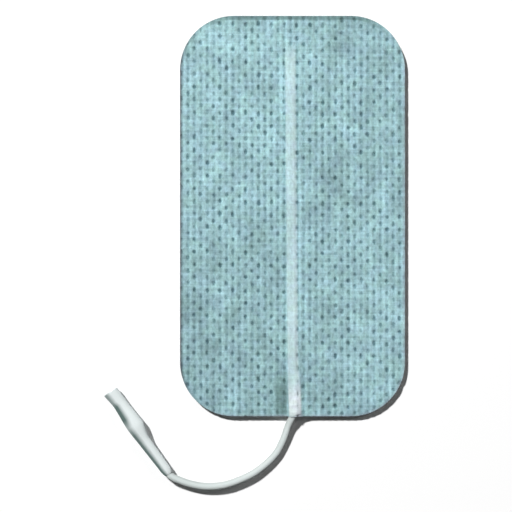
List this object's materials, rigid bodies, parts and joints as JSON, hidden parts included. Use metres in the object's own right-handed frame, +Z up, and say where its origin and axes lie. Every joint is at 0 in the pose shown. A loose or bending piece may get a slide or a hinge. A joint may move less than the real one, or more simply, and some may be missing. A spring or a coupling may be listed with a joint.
{
  "type": "tens electrode pad",
  "caption": "Self-adhesive rectangular nerve-stimulation electrode: ribbed cloth cover, carbon film and gel, with a short pigtail lead ending in a socket for a 2 mm pin.",
  "frame": {"origin": "middle of the pad's footprint on the face that goes on the skin, at z = 0", "axes": "+Z up through the layers to the cloth face; +Y the long way of the pad, away from the edge that the lead leaves; +X across the pad"},
  "size_m": [0.0667, 0.1054, 0.0039],
  "materials": {
    "cloth": "pale blue-green nonwoven cloth, matte, with ribs and pits",
    "carbon": "black carbon-loaded film, satin",
    "hydrogel": "clear tacky gel, slightly cloudy and glossy",
    "strands": "fine tinned strands twisted together",
    "insulation": "white soft insulation, satin",
    "moulding": "white soft moulding, satin",
    "socket": "plated rolled metal"
  },
  "bodies": {
    "root": {"cover_cloth": "cloth", "carbon_film": "carbon", "hydrogel_layer": "hydrogel", "bare_conductor": "strands", "lead_wire": "insulation", "connector_body": "moulding", "socket_contact": "socket"}
  },
  "joints": []
}
